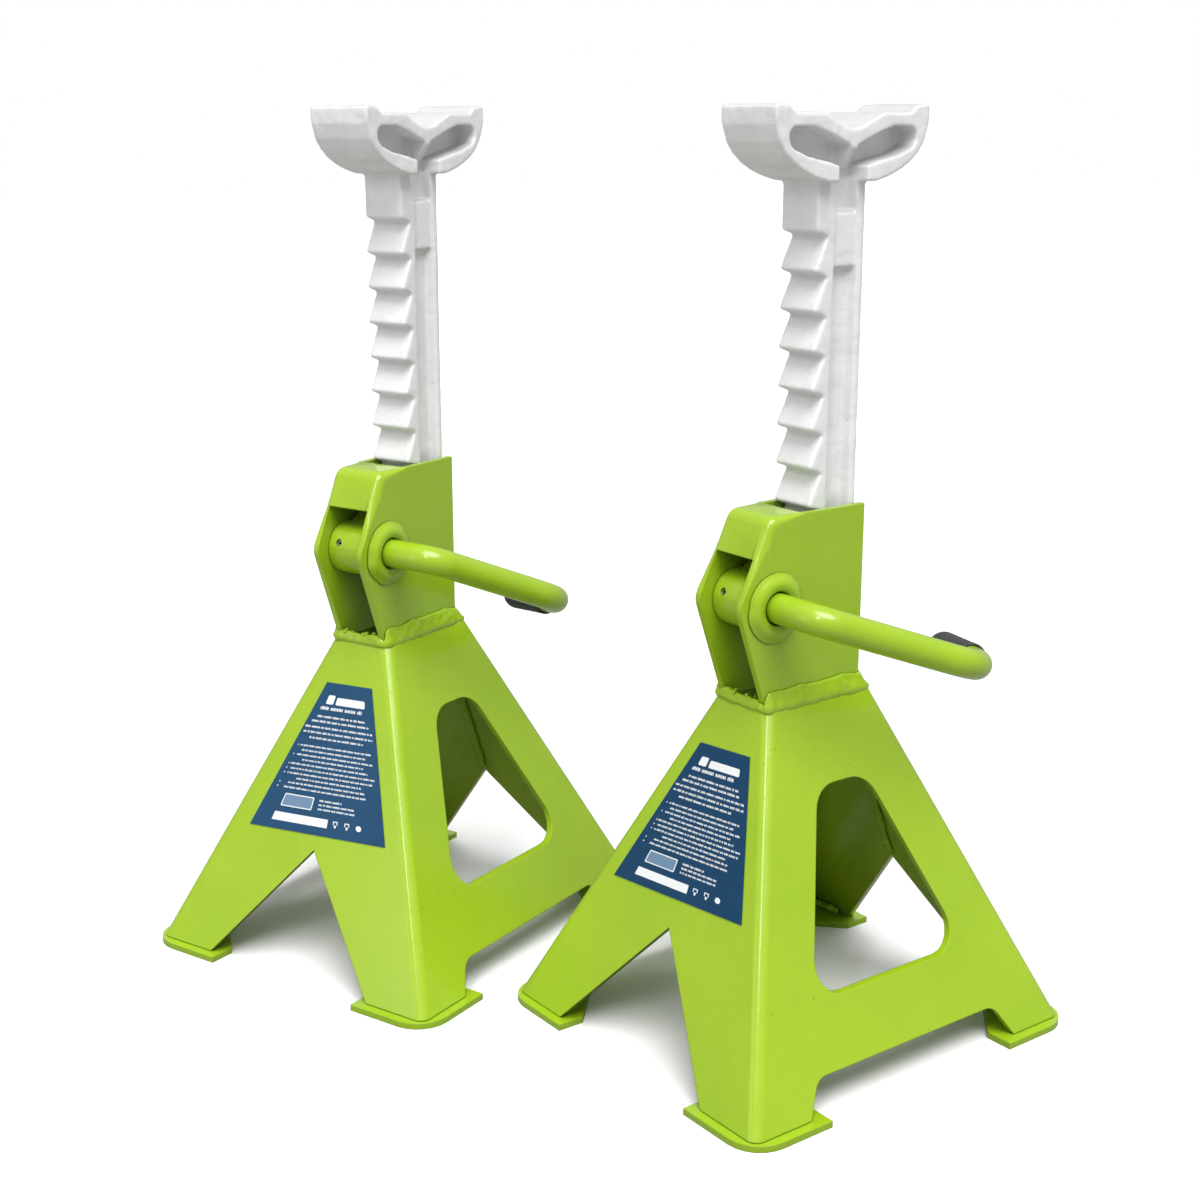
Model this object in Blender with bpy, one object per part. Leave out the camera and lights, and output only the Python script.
"""A pair of ratchet axle stands: folded sheet-steel bases, toothed lifting bars and pawls worked by side handles.

Lengths below are millimetres and are scaled to metres when a mesh is made.
Stand frame: +Z up, +X the handle side, -Y the label and pawl side, origin on the floor under the base.
"""

import math

import bmesh
import bpy
from mathutils import Matrix, Vector

MM = 0.001
GAP = 0.3

# Placement of the two stands in the shared frame: x, y, turn about Z in degrees
NEAR_STAND = (107.956, 53.572, 0.0)
FAR_STAND = (-84.844, -33.728, 19.84)

# Base: folded four-sided shell standing on four plates
SHEET = 3.0
SHEET_LEVEL = 3.25
FOOT_THICK = 3.0
LEG_BOTTOM = FOOT_THICK + GAP
BASE_TOP = 155.0
BASE_LOW_HALF = (84.5, 92.8)
BASE_TOP_HALF = (17.7, 31.0)
BASE_BEND = 5.0
FOOT_WELD_BEND = 4.5
NOTCH_APEX = 60.0
NOTCH_HALF = 50.0
WINDOW_LOW = (45.5, 44.0)
WINDOW_HIGH = (14.5, 122.5)
WINDOW_LOW_BEND = 11.5
WINDOW_HIGH_BEND = 14.0
SIDE_EDGE = 17.1
SIDE_LEG_GAP = 61.5

# Foot plates
FOOT_OUT = (88.8, 97.0)
FOOT_END = (44.5, 54.0)
FOOT_END_WIDTH = 13.2
FOOT_CORNER = 16.0

# Ratchet housing: folded channel with a sloped cover, open behind and closed by a back plate
HOUSE_HALF = 14.8
HOUSE_INNER = 11.8
HOUSE_LOW = BASE_TOP + GAP
HOUSE_TOP = 239.1
HOUSE_BACK = 24.8
HOUSE_FRONT_TOP = -28.6
HOUSE_EAR = (-45.6, 201.4)
HOUSE_FRONT_LOW = -30.6
COVER_LOW = 222.0
SLOT_FRONT = -10.5
COVER_BEND = 4.0
NECK_WELD_TALL = (9.0, 9.0, 4.0)
EAR_TAPER = 16.0
BACK_PLATE = 2.0

# Pivot, pawl and handle
PIVOT_Y = -25.65
PIVOT_Z = 200.3
ROD_R = 6.65
PAWL_R = 12.5
PAWL_ENDS = (-11.4, 10.8)
PAWL_BORE = 7.1
NOSE_HALF = 9.0
BUSH_R = 10.0
BUSH_FLANGE_R = 12.3
BUSH_BORE = 7.1
PIN_R = 1.5
PIN_X = -5.8
PIN_TILT = 21.0
ROD_LEFT = -20.0
ROD_BEND_START = 32.0
HANDLE_BEND_1 = (13.0, 72.8)
HANDLE_ARM = 55.5
HANDLE_BEND_2 = (26.0, 83.3)
HANDLE_TWIST = 3.0
HANDLE_RETURN = 30.8
NEAR_DROOP = 20.5
FAR_DROOP = 24.0
GRIP_R = 7.9
GRIP_BORE = 6.8
GRIP_START = 0.4
GRIP_END = 33.6

# Ratchet bar and saddle, one casting
PITCH = 16.5
BAR_HALF = 11.1
BAR_LOW = 132.5
BAR_FRONT = -4.2
BAR_BACK = 22.5
TOOTH_TIP = -4.5
TOOTH_ROOT = 2.0
TOOTH_DROP = 2.2
BLOCK_LOW = 355.3
TEETH = 9
FLUTE = (5.5, 19.0)
FLUTE_FLOOR = 6.5
FLUTE_LOW = 139.5
FLUTE_TOP = 341.0
PAD_TOP = 361.0
PAD_DEPTH = 1.1
SADDLE_MID = 9.5
SADDLE_HALF = 16.8
SADDLE_TOP = 406.0
POCKET_FLOOR = 5.5
RIB_HALF = 1.8
STOP_PIN_Z = 136.2
STOP_PIN_R = 2.0
STOP_PIN_HALF = 13.8

# Label on the -Y face of each stand: x and z of its corners
NEAR_LABEL = ((-43.9, 68.7), (40.9, 74.7), (15.6, 136.3), (-16.1, 134.3))
FAR_LABEL = ((-42.9, 63.8), (41.7, 69.6), (13.5, 135.6), (-14.4, 134.3))
LABEL_LIFT = 0.1
LABEL_THICK = 0.3

MATERIALS = {
    "green_powder_coat": ((0.36, 0.60, 0.03), 0.28, 0.0),
    "white_paint": ((0.80, 0.80, 0.80), 0.40, 0.0),
    "black_rubber": ((0.03, 0.03, 0.035), 0.65, 0.0),
    "label_vinyl": ((0.02, 0.10, 0.22), 0.35, 0.0),
    "plain_steel": ((0.45, 0.45, 0.46), 0.35, 1.0),
}


def clear_scene():
    for obj in list(bpy.data.objects):
        bpy.data.objects.remove(obj, do_unlink=True)


def make_materials():
    made = {}
    for name, (colour, rough, metal) in MATERIALS.items():
        mat = bpy.data.materials.new(name)
        mat.use_nodes = True
        shader = mat.node_tree.nodes["Principled BSDF"]
        shader.inputs["Base Color"].default_value = (*colour, 1.0)
        shader.inputs["Roughness"].default_value = rough
        shader.inputs["Metallic"].default_value = metal
        made[name] = mat
    return made


def add(name, bm):
    """Turns a bmesh drawn in millimetres into an object with closed, outward faces."""
    bmesh.ops.remove_doubles(bm, verts=bm.verts, dist=0.001)
    bmesh.ops.recalc_face_normals(bm, faces=bm.faces)
    if bm.calc_volume(signed=True) < 0:
        bmesh.ops.reverse_faces(bm, faces=bm.faces)
    bmesh.ops.scale(bm, vec=(MM, MM, MM), verts=bm.verts)
    mesh = bpy.data.meshes.new(name)
    bm.to_mesh(mesh)
    bm.free()
    obj = bpy.data.objects.new(name, mesh)
    bpy.context.scene.collection.objects.link(obj)
    return obj


def rounded(corners, steps=4):
    """A polygon from (a, b, radius) corners, each rounded by its radius."""
    out = []
    count = len(corners)
    for i, (a, b, radius) in enumerate(corners):
        here = Vector((a, b))
        if radius == 0:
            out.append((a, b))
            continue
        before = (Vector(corners[i - 1][:2]) - here).normalized()
        after = (Vector(corners[(i + 1) % count][:2]) - here).normalized()
        half = before.angle(after) / 2
        centre = here + (before + after).normalized() * (radius / math.sin(half))
        start = here + before * (radius / math.tan(half)) - centre
        end = here + after * (radius / math.tan(half)) - centre
        turn = start.angle_signed(end)
        for k in range(steps + 1):
            spun = start.copy()
            spun.rotate(Matrix.Rotation(-turn * k / steps, 2))
            out.append(tuple(centre + spun))
    return out


def placed(point, level, axis):
    a, b = point
    return {"X": (level, a, b), "Y": (a, level, b), "Z": (a, b, level)}[axis]


def loft(name, rings):
    """A solid through rings of points that all have the same count."""
    bm = bmesh.new()
    made = [[bm.verts.new(p) for p in ring] for ring in rings]
    count = len(made[0])
    for low, high in zip(made, made[1:]):
        for i in range(count):
            j = (i + 1) % count
            bm.faces.new((low[i], low[j], high[j], high[i]))
    bm.faces.new(made[0])
    bm.faces.new(made[-1])
    return add(name, bm)


def prism(name, outline, axis, low, high):
    return loft(name, [[placed(p, level, axis) for p in outline] for level in (low, high)])


def boolean(obj, others, operation="DIFFERENCE"):
    """Cuts or joins the others, then keeps the result as the object's own mesh."""
    for other in others:
        other.hide_render = True
        other.display_type = "WIRE"
        step = obj.modifiers.new("solid", "BOOLEAN")
        step.operation = operation
        step.solver = "EXACT"
        step.object = other
    bpy.context.view_layer.update()
    graph = bpy.context.evaluated_depsgraph_get()
    result = bpy.data.meshes.new_from_object(obj.evaluated_get(graph))
    obj.modifiers.clear()
    obj.data = result
    bm = bmesh.new()
    bm.from_mesh(result)
    bmesh.ops.remove_doubles(bm, verts=bm.verts, dist=0.00001)
    bmesh.ops.dissolve_degenerate(bm, edges=bm.edges, dist=0.00001)
    bm.to_mesh(result)
    bm.free()
    for other in others:
        bpy.data.objects.remove(other, do_unlink=True)
    return obj


def circle(radius, sides, turn=0.0):
    return [
        (radius * math.cos(turn + 2 * math.pi * i / sides), radius * math.sin(turn + 2 * math.pi * i / sides))
        for i in range(sides)
    ]


def tube(name, path, radius, sides=16):
    """A round bar along a path; radius is a number or one number per point."""
    points = [Vector(p) for p in path]
    radii = radius if isinstance(radius, list) else [radius] * len(points)
    rings = []
    forward = (points[1] - points[0]).normalized()
    side = forward.orthogonal().normalized()
    for i, point in enumerate(points):
        ahead = points[min(i + 1, len(points) - 1)] - point
        behind = point - points[max(i - 1, 0)]
        now = (ahead.normalized() + behind.normalized()).normalized()
        side = forward.rotation_difference(now) @ side
        side = (side - now * side.dot(now)).normalized()
        forward = now
        up = forward.cross(side)
        stretch = 1.0
        if 0 < i < len(points) - 1:
            stretch = 1.0 / max(0.9, math.cos(ahead.angle(behind) / 2))
        rings.append([point + (side * a + up * b) * stretch for a, b in circle(radii[i], sides)])
    return loft(name, rings)


def ring_about_x(name, profile, sides=28):
    """A closed ring from an (x, radius) profile turned about the pivot axis."""
    bm = bmesh.new()
    made = []
    for i in range(sides):
        angle = 2 * math.pi * i / sides
        made.append(
            [
                bm.verts.new((x, PIVOT_Y + r * math.cos(angle), PIVOT_Z + r * math.sin(angle)))
                for x, r in profile
            ]
        )
    for i in range(sides):
        now, then = made[i], made[(i + 1) % sides]
        for k in range(len(profile)):
            m = (k + 1) % len(profile)
            bm.faces.new((now[k], now[m], then[m], then[k]))
    return add(name, bm)


def pivot_cylinder(radius, low, high, sides=28):
    outline = [(PIVOT_Y + a, PIVOT_Z + b) for a, b in circle(radius, sides)]
    return prism("cutter", outline, "X", low, high)


def base_half(z, inward=0.0):
    """Half widths of the base's outer faces at height z, drawn in by inward."""
    share = (z - FOOT_THICK) / (BASE_TOP - FOOT_THICK)
    return tuple(low + (top - low) * share - inward for low, top in zip(BASE_LOW_HALF, BASE_TOP_HALF))


def base_ring(z, inward=0.0, bend=BASE_BEND):
    hx, hy = base_half(z, inward)
    corners = [(-hx, -hy, bend), (hx, -hy, bend), (hx, hy, bend), (-hx, hy, bend)]
    return [(x, y, z) for x, y in rounded(corners, 5)]


def pyramid(low, high, inward=0.0, bend=BASE_BEND):
    return loft("solid", [base_ring(low, inward, bend), base_ring(high, inward, bend)])


def window_outline():
    return rounded(
        [
            (-WINDOW_LOW[0], WINDOW_LOW[1], WINDOW_LOW_BEND),
            (WINDOW_LOW[0], WINDOW_LOW[1], WINDOW_LOW_BEND),
            (WINDOW_HIGH[0], WINDOW_HIGH[1], WINDOW_HIGH_BEND),
            (-WINDOW_HIGH[0], WINDOW_HIGH[1], WINDOW_HIGH_BEND),
        ],
        6,
    )


def side_edge_outline():
    """The space under each side face, between its two legs."""
    low = LEG_BOTTOM - 8
    near = SIDE_LEG_GAP + 5
    return rounded(
        [
            (-near, low, 0),
            (near, low, 0),
            (SIDE_LEG_GAP - 8.4, SIDE_EDGE, 8),
            (-SIDE_LEG_GAP + 8.4, SIDE_EDGE, 8),
        ],
        4,
    )


def make_base_shell():
    shell = pyramid(LEG_BOTTOM, BASE_TOP)
    shell.name = "base_shell"
    slope = NOTCH_HALF / (NOTCH_APEX - LEG_BOTTOM)
    drop = 10.0
    notch = [(-NOTCH_HALF - slope * drop, LEG_BOTTOM - drop), (NOTCH_HALF + slope * drop, LEG_BOTTOM - drop)]
    notch.append((0.0, NOTCH_APEX))
    seam = [(-1.0, NOTCH_APEX - 6), (1.0, NOTCH_APEX - 6), (1.0, BASE_TOP + 5), (-1.0, BASE_TOP + 5)]
    return boolean(
        shell,
        [
            pyramid(LEG_BOTTOM - 8, BASE_TOP + 12, SHEET_LEVEL, BASE_BEND - SHEET),
            prism("cutter", notch, "Y", -130, 130),
            prism("cutter", side_edge_outline(), "X", -120, 120),
            prism("cutter", window_outline(), "X", -120, 120),
            prism("cutter", seam, "Y", 15, 130),
        ],
    )


def face_point(z, out, x=0.0):
    """A point of the +Y face at height z, lifted out along its normal."""
    rise = BASE_TOP - FOOT_THICK
    run = BASE_LOW_HALF[1] - BASE_TOP_HALF[1]
    normal = Vector((0, rise, run)).normalized()
    return Vector((x, base_half(z)[1], z)) + normal * out


def make_seam_weld():
    """The butt weld up the middle of the +Y face, with a bead inside and out."""
    section = [
        (-0.7, 0.4),
        (-2.2, 0.4),
        (-1.5, 1.3),
        (1.5, 1.3),
        (2.2, 0.4),
        (0.7, 0.4),
        (0.7, -SHEET - 0.4),
        (2.6, -SHEET - 0.4),
        (1.8, -SHEET - 1.6),
        (-1.8, -SHEET - 1.6),
        (-2.6, -SHEET - 0.4),
        (-0.7, -SHEET - 0.4),
    ]
    ends = (NOTCH_APEX + 4.0, BASE_TOP - 3.0)
    return loft("rear_seam_weld", [[face_point(z, out, x) for x, out in section] for z in ends])


def make_foot(name, sx, sy):
    out_x, out_y = FOOT_OUT
    corners = [
        (FOOT_END[0], out_y, 0),
        (out_x, out_y, FOOT_CORNER),
        (out_x, FOOT_END[1], 0),
        (out_x - FOOT_END_WIDTH, FOOT_END[1], 0),
        (FOOT_END[0], out_y - FOOT_END_WIDTH, 0),
    ]
    outline = [(x * sx, y * sy) for x, y in rounded(corners, 6)]
    plate = loft(name, [[(x, y, z) for x, y in outline] for z in (0.0, FOOT_THICK)])
    return plate


def make_foot_weld(name, sx, sy):
    """The fillet weld inside a leg, where it meets its foot plate."""
    hx, hy = base_half(LEG_BOTTOM, SHEET_LEVEL)
    bend = FOOT_WELD_BEND
    section = [(GAP, LEG_BOTTOM), (3.6, LEG_BOTTOM), (2.9, LEG_BOTTOM + 2.3), (2.2, LEG_BOTTOM + 2.9)]
    rings = []
    path = [((hx, 66.0), (-1, 0))]
    for k in range(5):
        angle = math.radians(90 * k / 4)
        away = (-math.cos(angle), -math.sin(angle))
        path.append(((hx - bend - away[0] * bend, hy - bend - away[1] * bend), away))
    path.append(((56.0, hy), (0, -1)))
    for (x, y), (dx, dy) in path:
        rings.append([((x + dx * d) * sx, (y + dy * d) * sy, z) for d, z in section])
    return loft(name, rings)


def housing_profile(grow=0.0):
    return [
        (HOUSE_BACK + grow, HOUSE_LOW - grow, 0),
        (HOUSE_BACK + grow, HOUSE_TOP + grow, 0),
        (HOUSE_FRONT_TOP - grow, HOUSE_TOP + grow, 6),
        (HOUSE_EAR[0] - grow, HOUSE_EAR[1], 9),
        (HOUSE_FRONT_LOW - grow, HOUSE_LOW + 3, 0),
        (HOUSE_FRONT_LOW - grow, HOUSE_LOW - grow, 0),
    ]


def cover_front(z):
    """y of the housing's sloped front at height z."""
    share = (HOUSE_TOP - z) / (HOUSE_TOP - HOUSE_EAR[1])
    return HOUSE_FRONT_TOP + (HOUSE_EAR[0] - HOUSE_FRONT_TOP) * share


def ear_taper(side):
    """Cutter that eases an ear's outer edge into the cover's rounded edge above it."""
    rings = []
    low = (COVER_LOW - EAR_TAPER, 0.1)
    middle = (COVER_LOW, COVER_BEND * 0.985)
    high = (COVER_LOW + 6, COVER_BEND * 0.95)
    for z, bend in (low, middle, high):
        x, y = HOUSE_HALF, cover_front(z)
        corners = [(x + 1, y + bend), (x + 1, y - 1), (x - bend, y - 1)]
        for k in range(5):
            angle = math.radians(90 * k / 4)
            corners.append((x - bend * (1 - math.sin(angle)), y + bend * (1 - math.cos(angle))))
        rings.append([(a * side, b, z) for a, b in corners])
    return loft("cutter", rings)


def make_housing():
    """Folded channel: the cover's edges are bent round, the plates' own edges are cut square."""
    rings = []
    for side in (-1, 1):
        for k in range(5):
            angle = math.radians(90 * (4 - k if side < 0 else k) / 4)
            x = side * (HOUSE_HALF - COVER_BEND * (1 - math.sin(angle)))
            inset = COVER_BEND * (1 - math.cos(angle))
            foot = cover_front(COVER_LOW - 1) + inset
            outline = rounded(
                [
                    (SLOT_FRONT + 0.5, HOUSE_TOP - 13, 0),
                    (SLOT_FRONT + 0.5, HOUSE_TOP - inset * 0.1, 0),
                    (HOUSE_FRONT_TOP + inset * 0.9, HOUSE_TOP - inset, 6),
                    (foot, COVER_LOW - 1, 0),
                    (foot + 9, COVER_LOW - 1, 0),
                ],
                5,
            )
            rings.append([placed(p, x, "X") for p in outline])
    shell = loft("housing", rings)
    low_out = Vector((cover_front(COVER_LOW), COVER_LOW))
    ears = rounded(
        [
            (HOUSE_BACK, HOUSE_LOW, 0),
            (HOUSE_BACK, HOUSE_TOP, 0),
            (SLOT_FRONT, HOUSE_TOP, 0),
            (SLOT_FRONT - 3, HOUSE_TOP - 9, 0),
            (low_out.x + 6, low_out.y + 4, 0),
            (cover_front(COVER_LOW + 1.5) + 0.12, COVER_LOW + 1.5, 0),
            (*HOUSE_EAR, 9),
            (HOUSE_FRONT_LOW, HOUSE_LOW + 3, 0),
            (HOUSE_FRONT_LOW, HOUSE_LOW, 0),
        ],
        6,
    )
    boolean(shell, [prism("ears", ears, "X", -HOUSE_HALF, HOUSE_HALF)], "UNION")
    normal = Vector((HOUSE_TOP - HOUSE_EAR[1], HOUSE_EAR[0] - HOUSE_FRONT_TOP)).normalized()
    low_in = low_out + normal * SHEET
    high_in = Vector((cover_front(HOUSE_TOP - SHEET), HOUSE_TOP - SHEET)) + normal * SHEET
    high_in.y = HOUSE_TOP - SHEET
    inside = rounded(
        [
            (60, 120, 0),
            (60, 270, 0),
            (SLOT_FRONT, 270, 0),
            (SLOT_FRONT, HOUSE_TOP - SHEET, 0),
            (*high_in, 3),
            (*low_in, 0),
            (*(low_out - normal * 30), 0),
            (-80, 120, 0),
        ],
        3,
    )
    return boolean(
        shell,
        [
            prism("cutter", inside, "X", -HOUSE_INNER, HOUSE_INNER),
            pivot_cylinder(BUSH_R + GAP, -40, 40),
            ear_taper(-1),
            ear_taper(1),
        ],
    )


def make_back_plate():
    high = HOUSE_TOP - 1.0
    outline = [
        (-HOUSE_INNER + GAP, HOUSE_BACK),
        (HOUSE_INNER - GAP, HOUSE_BACK),
        (HOUSE_INNER - GAP, HOUSE_BACK - BACK_PLATE),
        (-HOUSE_INNER + GAP, HOUSE_BACK - BACK_PLATE),
    ]
    return prism("housing_back_plate", outline, "Z", HOUSE_LOW, high)


def make_neck_weld():
    """The bead on the base's rim, round the foot of the housing and across its open front."""
    mid_y = (HOUSE_BACK + HOUSE_FRONT_LOW) / 2
    half_y = (HOUSE_BACK - HOUSE_FRONT_LOW) / 2
    corners = [
        (-HOUSE_HALF, mid_y - half_y, 2),
        (HOUSE_HALF, mid_y - half_y, 2),
        (HOUSE_HALF, mid_y + half_y, 2),
        (-HOUSE_HALF, mid_y + half_y, 2),
    ]
    rim_side = BASE_TOP_HALF[0] - HOUSE_HALF
    rim_back = BASE_TOP_HALF[1] - HOUSE_BACK
    rim_front = BASE_TOP_HALF[1] + HOUSE_FRONT_LOW
    centre = Vector((0, mid_y))
    path = []
    loop = [Vector(p) for p in rounded(corners, 3)]
    for i, point in enumerate(loop):
        ahead = loop[(i + 1) % len(loop)]
        steps = max(1, round((ahead - point).length / 9))
        path += [point.lerp(ahead, k / steps) for k in range(steps)]
    bm = bmesh.new()
    made = []
    for i, point in enumerate(path):
        along = (path[(i + 1) % len(path)] - path[i - 1]).normalized()
        out = Vector((along.y, -along.x))
        if out.dot(point - centre) < 0:
            out = -out
        ends = out.y * out.y
        rim = rim_side * (1 - ends) + (rim_back if out.y > 0 else rim_front) * ends
        tall = NECK_WELD_TALL[0] * (1 - ends) + NECK_WELD_TALL[1 if out.y > 0 else 2] * ends
        swell = 0.35 * math.sin(i * 2.4)
        lip = 0.3 * (1 - ends) + 0.9 * ends
        section = [
            (-1.6, GAP),
            (rim + lip - 0.3, GAP),
            (rim + lip + swell * 0.5, 1.5),
            (rim * 0.6 + 0.7 + swell, tall * 0.4),
            (rim * 0.2 + 0.7 + swell, tall * 0.75),
            (0.4, tall + swell),
            (-1.6, tall + swell),
        ]
        made.append(
            [bm.verts.new((point.x + out.x * d, point.y + out.y * d, BASE_TOP + h)) for d, h in section]
        )
    for i in range(len(made)):
        now, then = made[i], made[(i + 1) % len(made)]
        for k in range(len(now)):
            m = (k + 1) % len(now)
            bm.faces.new((now[k], now[m], then[m], then[k]))
    bead = add("neck_weld", bm)
    wall = housing_profile(GAP)
    plate = [(HOUSE_BACK - 6, 150), (HOUSE_BACK + GAP, 150), (HOUSE_BACK + GAP, 250), (HOUSE_BACK - 6, 250)]
    near_wall = [(y, z) for y, z in rounded(wall, 5)]
    return boolean(
        bead,
        [
            prism("cutter", near_wall, "X", HOUSE_INNER - GAP, HOUSE_HALF + GAP),
            prism("cutter", near_wall, "X", -HOUSE_HALF - GAP, -HOUSE_INNER + GAP),
            prism("cutter", plate, "X", -HOUSE_INNER, HOUSE_INNER),
        ],
    )


def make_bushing(name, side):
    """A flanged bush through one ear, and the ring of weld round its flange."""
    plate = HOUSE_HALF + GAP
    profile = [
        (HOUSE_INNER, BUSH_BORE),
        (HOUSE_INNER, BUSH_R),
        (plate, BUSH_R),
        (plate, BUSH_FLANGE_R),
        (plate + 2.2, BUSH_FLANGE_R),
        (plate + 3.1, BUSH_FLANGE_R - 1.1),
        (plate + 3.1, BUSH_BORE),
    ]
    weld = [
        (plate, BUSH_FLANGE_R + GAP),
        (plate, BUSH_FLANGE_R + 2.9),
        (plate + 1.0, BUSH_FLANGE_R + 2.5),
        (plate + 2.0, BUSH_FLANGE_R + GAP),
    ]
    bush = ring_about_x(f"{name}_bushing", [(x * side, r) for x, r in profile])
    bead = ring_about_x(f"{name}_bushing_weld", [(x * side, r) for x, r in weld])
    return bush, bead


def pin_cutter():
    """The cross hole through pawl and rod."""
    tilt = math.radians(PIN_TILT)
    way = Vector((0, -math.cos(tilt), math.sin(tilt)))
    middle = Vector((PIN_X, PIVOT_Y, PIVOT_Z))
    return tube("cutter", [middle - way * 16, middle + way * 16], PIN_R + GAP, 12)


def make_pawl():
    sleeve = pivot_cylinder(PAWL_R, *PAWL_ENDS, 32)
    sleeve.name = "pawl"
    nose = [(-2.0, 221.9), (-7.0, 223.6), (-26.5, 211.2), (-24.0, 198.0), (-15.0, 195.5), (-5.8, 214.0)]
    strut = prism("strut", nose, "X", -NOSE_HALF, NOSE_HALF)
    boolean(sleeve, [strut], "UNION")
    return boolean(sleeve, [pivot_cylinder(PAWL_BORE, -30, 30), pin_cutter()])


def make_roll_pin():
    tilt = math.radians(PIN_TILT)
    way = Vector((0, -math.cos(tilt), math.sin(tilt)))
    middle = Vector((PIN_X, PIVOT_Y, PIVOT_Z))
    pin = tube("roll_pin", [middle - way * 11.4, middle + way * 11.4], PIN_R, 12)
    return boolean(pin, [tube("cutter", [middle - way * 14, middle + way * 14], 0.8, 8)])


def handle_path(droop_degrees, steps=8):
    """Centre line of the handle rod from its left end, bends included, and the way its return points."""
    droop = math.radians(droop_degrees)
    twist = math.radians(HANDLE_TWIST)
    origin = Vector((0, PIVOT_Y, PIVOT_Z))
    forward = Vector((1, 0, 0))
    side = Vector((0, math.cos(droop), -math.sin(droop)))
    points = [origin + forward * ROD_LEFT, origin + forward * ROD_BEND_START]
    for (radius, degrees), straight in ((HANDLE_BEND_1, HANDLE_ARM), (HANDLE_BEND_2, HANDLE_RETURN)):
        turn = math.radians(degrees)
        centre = points[-1] + side * radius
        for k in range(1, steps + 1):
            now = turn * k / steps
            points.append(centre + (forward * math.sin(now) - side * math.cos(now)) * radius)
        ahead = forward * math.cos(turn) + side * math.sin(turn)
        side = side * math.cos(turn) - forward * math.sin(turn)
        forward = ahead
        side = side * math.cos(twist) + forward.cross(side) * math.sin(twist)
        points.append(points[-1] + forward * straight)
    return points


def make_handle(droop):
    path = handle_path(droop)
    first = path[0] + Vector((1.2, 0, 0))
    rod = tube("handle_rod", [path[0], first, *path[1:]], [ROD_R - 1.0] + [ROD_R] * len(path), 18)
    return boolean(rod, [pin_cutter()])


def make_grip(droop):
    """A closed rubber sleeve pushed over the end of the rod."""
    path = handle_path(droop)
    start, end = path[-2], path[-1]
    way = (end - start).normalized()
    steps = [
        (GRIP_START, GRIP_R - 0.3),
        (GRIP_START + 0.4, GRIP_R),
        (GRIP_END - 3.0, GRIP_R),
        (GRIP_END - 1.2, GRIP_R - 0.8),
        (GRIP_END - 0.4, GRIP_R - 2.2),
        (GRIP_END, GRIP_R - 4.0),
    ]
    grip = tube("handle_grip", [start + way * d for d, _ in steps], [r for _, r in steps], 18)
    bore = tube("cutter", [start - way * 5, start + way * (HANDLE_RETURN + GAP)], GRIP_BORE + 0.15, 18)
    return boolean(grip, [bore])


def bar_outline():
    neck = SADDLE_TOP - 22
    points = [(BAR_BACK, BAR_LOW), (BAR_BACK, neck), (BAR_FRONT, neck), (BAR_FRONT, BLOCK_LOW)]
    points.append((TOOTH_ROOT, BLOCK_LOW - TOOTH_DROP))
    for i in range(TEETH):
        tip = BLOCK_LOW - PITCH * (i + 1)
        points.append((TOOTH_TIP, tip + 0.9))
        points.append((TOOTH_TIP + 0.2, tip))
        points.append((TOOTH_ROOT, tip - TOOTH_DROP))
    points.append((TOOTH_TIP, BLOCK_LOW - PITCH * (TEETH + 1)))
    points.append((TOOTH_TIP, BAR_LOW))
    return points


def saddle_outline():
    """Half-disc seat: (distance from its middle, depth below its top)."""
    under = [(42.9, 1.0), (42.6, 8.0), (40.4, 14.8), (37.0, 19.4), (32.5, 23.3), (27.0, 26.4), (21.0, 28.7)]
    under.append((13.4, 30.8))
    seat = [(5.0, 8.8), (11.0, 6.0), (17.0, 3.3), (32.6, 3.3), (36.0, 0.4), (41.8, 0.0)]
    right = [(0.0, 9.8), *seat, *under]
    left = [(-a, b) for a, b in reversed(right[1:])]
    return [(SADDLE_MID + a, SADDLE_TOP - b) for a, b in [*right, *left]]


def pocket_outline(side):
    """A cast pocket beside the seat's rib, open below to the bar's flute."""
    corners = [
        (RIB_HALF, SADDLE_TOP - 16.4, 1.0),
        (14.5, SADDLE_TOP - 11.2, 3.0),
        (22.5, SADDLE_TOP - 8.8, 4.0),
        (36.6, SADDLE_TOP - 8.6, 4.0),
        (35.0, SADDLE_TOP - 17.0, 5.0),
        (26.0, SADDLE_TOP - 20.4, 4.0),
        (14.0, SADDLE_TOP - 22.8, 4.0),
        (7.6, SADDLE_TOP - 24.4, 1.2),
        (7.6, SADDLE_TOP - 30.0, 0),
        (RIB_HALF, SADDLE_TOP - 30.0, 0),
    ]
    return [(SADDLE_MID + a * side + 0.3, b) for a, b in rounded(corners, 3)]


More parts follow.
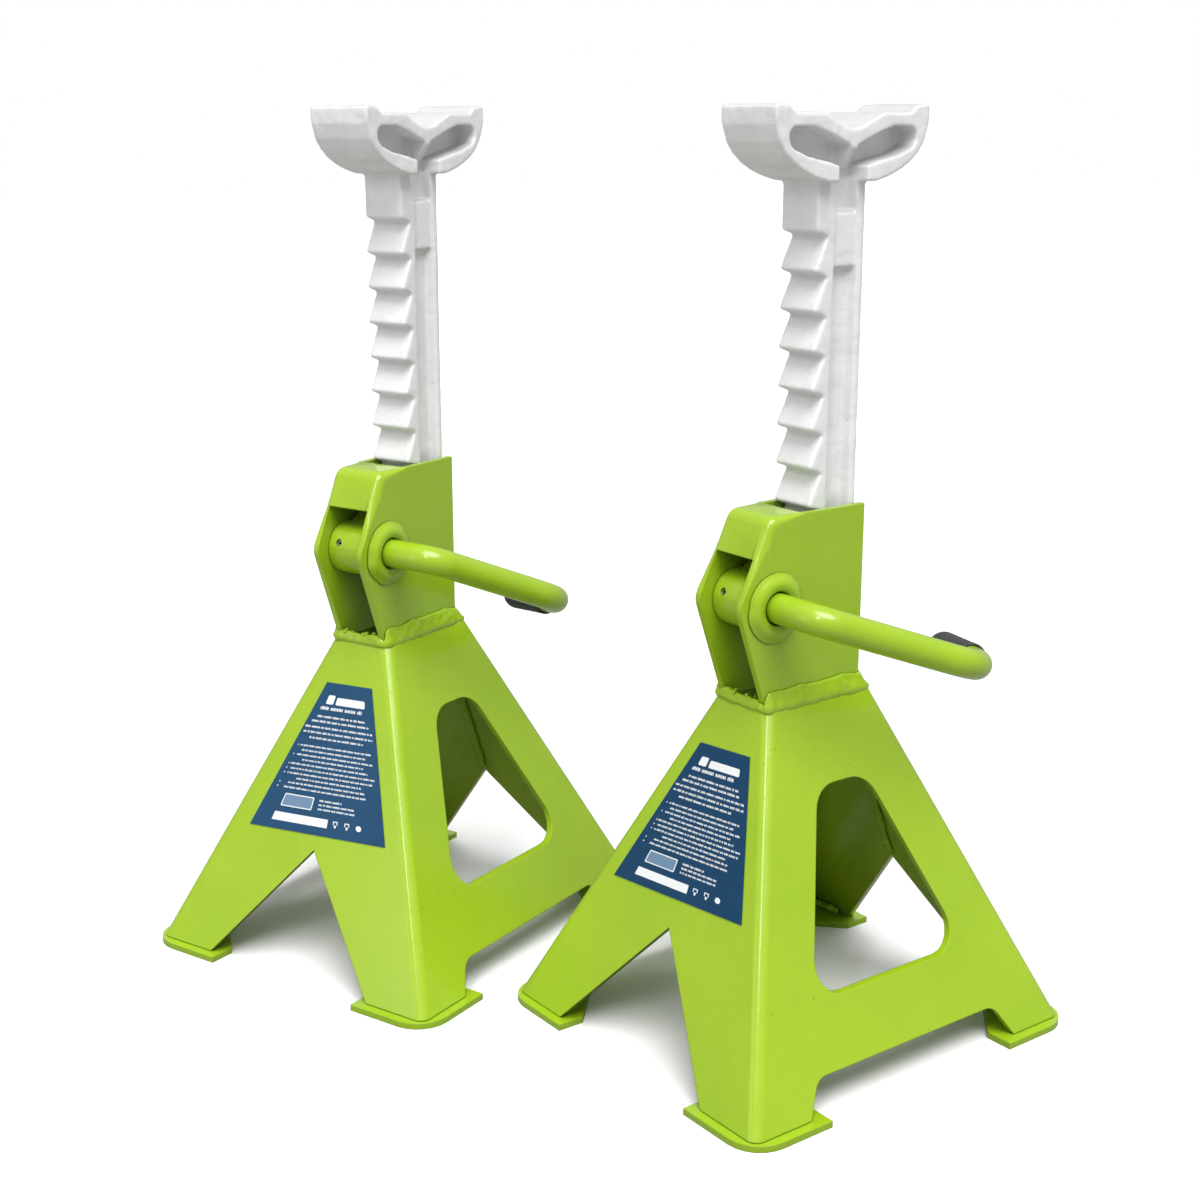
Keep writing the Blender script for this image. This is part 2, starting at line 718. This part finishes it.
def make_ratchet_bar():
    bar = prism("ratchet_bar", bar_outline(), "X", -BAR_HALF, BAR_HALF)
    saddle = prism("saddle", saddle_outline(), "X", -SADDLE_HALF, SADDLE_HALF)
    boolean(bar, [saddle], "UNION")
    cutters = []
    for side in (-1, 1):
        for half in (-1, 1):
            low, high = sorted((POCKET_FLOOR * side, (SADDLE_HALF + 8) * side))
            cutters.append(prism("cutter", pocket_outline(half), "X", low, high))
        outer, floor = BAR_HALF + 2, FLUTE_FLOOR
        rings = []
        for x, grow in ((floor, -1.6), (outer, 0.7)):
            y0, y1 = FLUTE[0] - grow, FLUTE[1] + grow
            z0, z1 = FLUTE_LOW - grow, FLUTE_TOP + grow
            rings.append([(x * side, y, z) for y, z in ((y0, z0), (y1, z0), (y1, z1), (y0, z1))])
        cutters.append(loft("cutter", rings))
        slant = [(SADDLE_HALF + 3, SADDLE_TOP - 12), (SADDLE_HALF + 3, SADDLE_TOP - 30.5)]
        slant += [(POCKET_FLOOR + 0.2, SADDLE_TOP - 30.5), (SADDLE_HALF + 0.2, SADDLE_TOP - 17.0)]
        rib = [(a * side, b) for a, b in slant]
        cutters.append(prism("cutter", rib, "Y", SADDLE_MID - RIB_HALF - 0.6, SADDLE_MID + RIB_HALF + 1.2))
        rings = []
        for x, grow in ((floor - 0.6, -1.2), (SADDLE_HALF + 3, 0.9)):
            low_z, mid_z, high_z = PAD_TOP + 1.0 - grow, SADDLE_TOP - 30.0, SADDLE_TOP - 25.5
            left, right = SADDLE_MID - 7.3 - grow, SADDLE_MID + 7.9 + grow
            recess = [(FLUTE[0] - grow, low_z), (FLUTE[1] + grow, low_z), (right, mid_z), (right, high_z)]
            recess += [(left, high_z), (left, mid_z)]
            rings.append([(x * side, y, z) for y, z in recess])
        cutters.append(loft("cutter", rings))
        pad_low, pad_high = FLUTE_TOP - 2, PAD_TOP + 2
        pad = [(FLUTE[0], pad_low), (FLUTE[1], pad_low), (FLUTE[1], pad_high), (FLUTE[0], pad_high)]
        low, high = sorted(((BAR_HALF - PAD_DEPTH) * side, (BAR_HALF + 4) * side))
        cutters.append(prism("cutter", pad, "X", low, high))
    hole = [(SADDLE_MID + a, STOP_PIN_Z + b) for a, b in circle(STOP_PIN_R + GAP, 12)]
    cutters.append(prism("cutter", hole, "X", -20, 20))
    return boolean(bar, cutters)


def make_stop_pin():
    ends = (-STOP_PIN_HALF, STOP_PIN_HALF)
    path = [(ends[0], SADDLE_MID, STOP_PIN_Z), (ends[1], SADDLE_MID, STOP_PIN_Z)]
    return tube("bar_stop_pin", path, STOP_PIN_R, 12)


def make_label(corners):
    rings = []
    for lift in (LABEL_LIFT, LABEL_LIFT + LABEL_THICK):
        ring = []
        for x, z in corners:
            point = face_point(z, lift, x)
            ring.append((point.x, -point.y, point.z))
        rings.append(ring)
    return loft("label", rings)


def finish(obj, material, origin=(0, 0, 0), smooth=30.0):
    """Gives the piece its material, shading and origin."""
    mesh = obj.data
    mesh.name = obj.name
    mesh.materials.clear()
    mesh.materials.append(material)
    shift = Vector(origin) * MM
    mesh.transform(Matrix.Translation(-shift))
    obj.location = shift
    mesh.shade_smooth()
    mesh.set_sharp_from_angle(angle=math.radians(smooth))


def build_stand(materials):
    """The pieces that both stands share, in the stand frame."""
    green = materials["green_powder_coat"]
    steel = materials["plain_steel"]
    pivot = (0, PIVOT_Y, PIVOT_Z)
    on_bar = (0, SADDLE_MID, BAR_LOW)
    fixed = [make_base_shell(), make_seam_weld(), make_housing(), make_back_plate(), make_neck_weld()]
    for side, sx in (("right", 1), ("left", -1)):
        fixed += make_bushing(side, sx)
        for end, sy in (("front", -1), ("back", 1)):
            fixed.append(make_foot(f"foot_plate_{end}_{side}", sx, sy))
            fixed.append(make_foot_weld(f"foot_weld_{end}_{side}", sx, sy))
    for obj in fixed:
        finish(obj, green)
    pawl, pin = make_pawl(), make_roll_pin()
    finish(pawl, green, pivot)
    finish(pin, steel, pivot)
    bar, stop = make_ratchet_bar(), make_stop_pin()
    finish(bar, materials["white_paint"], on_bar)
    finish(stop, steel, on_bar)
    return [*fixed, pawl, pin, bar, stop]


def place(obj, stand):
    x, y, turn = stand
    frame = Matrix.Translation((x * MM, y * MM, 0)) @ Matrix.Rotation(math.radians(turn), 4, "Z")
    obj.matrix_world = frame @ Matrix.Translation(obj.location)


def main():
    clear_scene()
    materials = make_materials()
    pieces = build_stand(materials)
    for obj in pieces:
        twin = bpy.data.objects.new(f"far_{obj.name}", obj.data.copy())
        bpy.context.scene.collection.objects.link(twin)
        twin.location = obj.location
        place(twin, FAR_STAND)
        obj.name = f"near_{obj.name}"
        place(obj, NEAR_STAND)
    for prefix, corners, droop, stand in (
        ("near", NEAR_LABEL, NEAR_DROOP, NEAR_STAND),
        ("far", FAR_LABEL, FAR_DROOP, FAR_STAND),
    ):
        own = [
            (make_label(corners), "label", "label_vinyl", (0, 0, 0)),
            (make_handle(droop), "handle_rod", "green_powder_coat", (0, PIVOT_Y, PIVOT_Z)),
            (make_grip(droop), "handle_grip", "black_rubber", (0, PIVOT_Y, PIVOT_Z)),
        ]
        for obj, kind, slot, origin in own:
            obj.name = f"{prefix}_{kind}"
            finish(obj, materials[slot], origin)
            place(obj, stand)


main()
